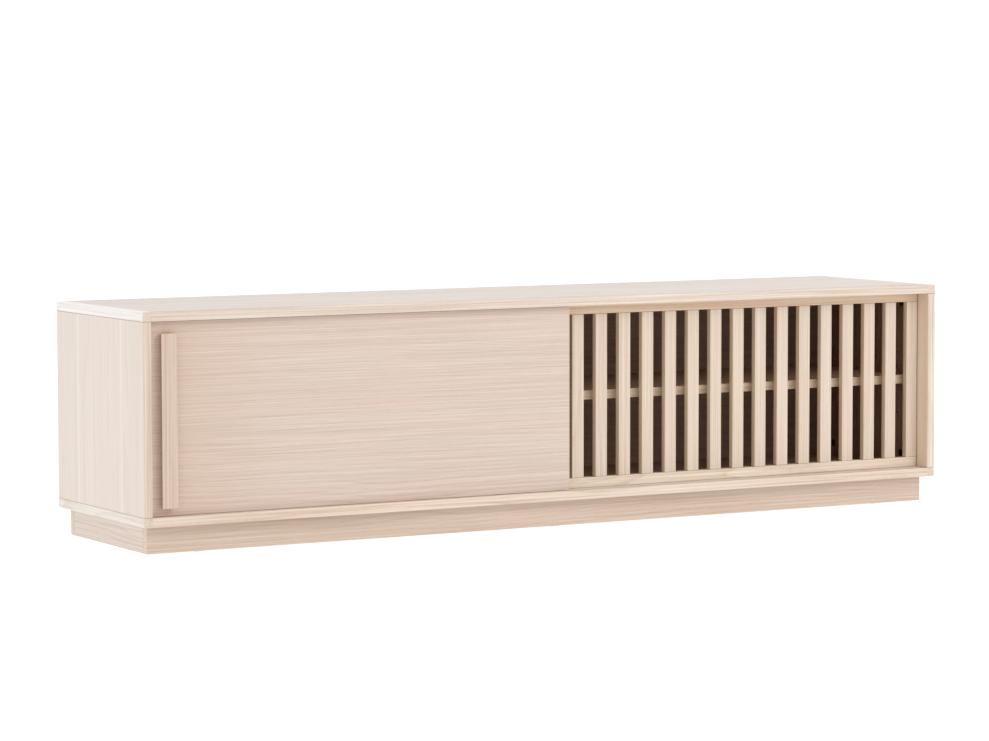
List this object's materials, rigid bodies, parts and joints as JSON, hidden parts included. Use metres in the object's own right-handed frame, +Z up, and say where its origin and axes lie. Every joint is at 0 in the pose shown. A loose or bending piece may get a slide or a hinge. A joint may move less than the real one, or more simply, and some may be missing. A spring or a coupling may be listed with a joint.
{
  "type": "media cabinet",
  "caption": "Low, long oak-veneer media cabinet on a recessed plinth, with a solid sliding door with a batten handle beside a slatted sliding door, shelves and cable ports behind.",
  "frame": {"origin": "on the floor under the middle of the carcass", "axes": "+X to the cabinet's right along its width, -Y out of the doors at the front, +Z up"},
  "size_m": [1.8, 0.4, 0.454],
  "materials": {
    "oak_veneer": "white-pigmented oak veneer, matt lacquer",
    "solid_oak": "white-pigmented solid oak, matt lacquer",
    "dark_board": "dark brown lacquered fibreboard, matt",
    "beech": "plain beech, unfinished",
    "track_plastic": "oak-toned extruded plastic",
    "housing_plastic": "off-white moulded plastic",
    "nylon": "natural nylon",
    "buffer_rubber": "soft grey rubber",
    "zinc": "zinc die casting",
    "screw_steel": "zinc-plated steel"
  },
  "bodies": {
    "root": {"top_panel": "oak_veneer", "top_front_lipping": "solid_oak", "top_end_lippings": "solid_oak", "bottom_panel": "oak_veneer", "bottom_front_lipping": "solid_oak", "bottom_end_lippings": "solid_oak", "left_side": "oak_veneer", "right_side": "oak_veneer", "centre_divider": "oak_veneer", "left_back": "dark_board", "right_back": "dark_board", "left_shelf": "oak_veneer", "right_shelf": "oak_veneer", "shelf_pins": "screw_steel", "upper_tracks": "track_plastic", "lower_tracks": "track_plastic", "plinth_front": "oak_veneer", "plinth_back": "oak_veneer", "plinth_left": "oak_veneer", "plinth_right": "oak_veneer", "plinth_cross_rail": "beech", "plinth_corner_blocks": "beech", "glides": "nylon", "cam_locks": "zinc", "cam_bolts": "zinc", "dowels": "beech", "plinth_screws": "screw_steel", "back_screws": "screw_steel"},
    "solid_door": {"solid_door_panel": "oak_veneer", "door_handle": "solid_oak", "handle_screws": "screw_steel", "solid_door_housings": "housing_plastic", "solid_door_guides": "housing_plastic", "solid_door_buffers": "buffer_rubber"},
    "slat_door": {"slat_door_top_rail": "solid_oak", "slat_door_bottom_rail": "solid_oak", "slat_door_housings": "housing_plastic", "slat_door_guides": "housing_plastic", "slat_door_buffers": "buffer_rubber", "slat_01": "solid_oak", "slat_02": "solid_oak", "slat_03": "solid_oak", "slat_04": "solid_oak", "slat_05": "solid_oak", "slat_06": "solid_oak", "slat_07": "solid_oak", "slat_08": "solid_oak", "slat_09": "solid_oak", "slat_10": "solid_oak", "slat_11": "solid_oak", "slat_12": "solid_oak", "slat_13": "solid_oak", "slat_14": "solid_oak", "slat_15": "solid_oak", "slat_16": "solid_oak", "slat_17": "solid_oak"},
    "solid_door_left_wheel": {"solid_door_left_wheel": "nylon"},
    "solid_door_right_wheel": {"solid_door_right_wheel": "nylon"},
    "slat_door_left_wheel": {"slat_door_left_wheel": "nylon"},
    "slat_door_right_wheel": {"slat_door_right_wheel": "nylon"}
  },
  "joints": [
    {"name": "solid_door_slide", "type": "slide", "parent": "root", "child": "solid_door", "axis": [1, 0, 0], "range_m": [0, 0.857]},
    {"name": "slat_door_slide", "type": "slide", "parent": "root", "child": "slat_door", "axis": [-1, 0, 0], "range_m": [0, 0.8695]},
    {"name": "solid_door_left_wheel_spin", "type": "hinge", "parent": "solid_door", "child": "solid_door_left_wheel", "pos_m": [-0.821, -0.175, 0.0743], "axis": [0, 1, 0], "continuous": true},
    {"name": "solid_door_right_wheel_spin", "type": "hinge", "parent": "solid_door", "child": "solid_door_right_wheel", "pos_m": [-0.036, -0.175, 0.0743], "axis": [0, 1, 0], "continuous": true},
    {"name": "slat_door_left_wheel_spin", "type": "hinge", "parent": "slat_door", "child": "slat_door_left_wheel", "pos_m": [0.0485, -0.1545, 0.0743], "axis": [0, -1, 0], "continuous": true},
    {"name": "slat_door_right_wheel_spin", "type": "hinge", "parent": "slat_door", "child": "slat_door_right_wheel", "pos_m": [0.821, -0.1545, 0.0743], "axis": [0, -1, 0], "continuous": true}
  ],
  "couplings": [
    {"joint": "solid_door_left_wheel_spin", "follows": "solid_door_slide", "rad_per_m": 111.11},
    {"joint": "solid_door_right_wheel_spin", "follows": "solid_door_slide", "rad_per_m": 111.11},
    {"joint": "slat_door_left_wheel_spin", "follows": "slat_door_slide", "rad_per_m": 111.11},
    {"joint": "slat_door_right_wheel_spin", "follows": "slat_door_slide", "rad_per_m": 111.11}
  ]
}
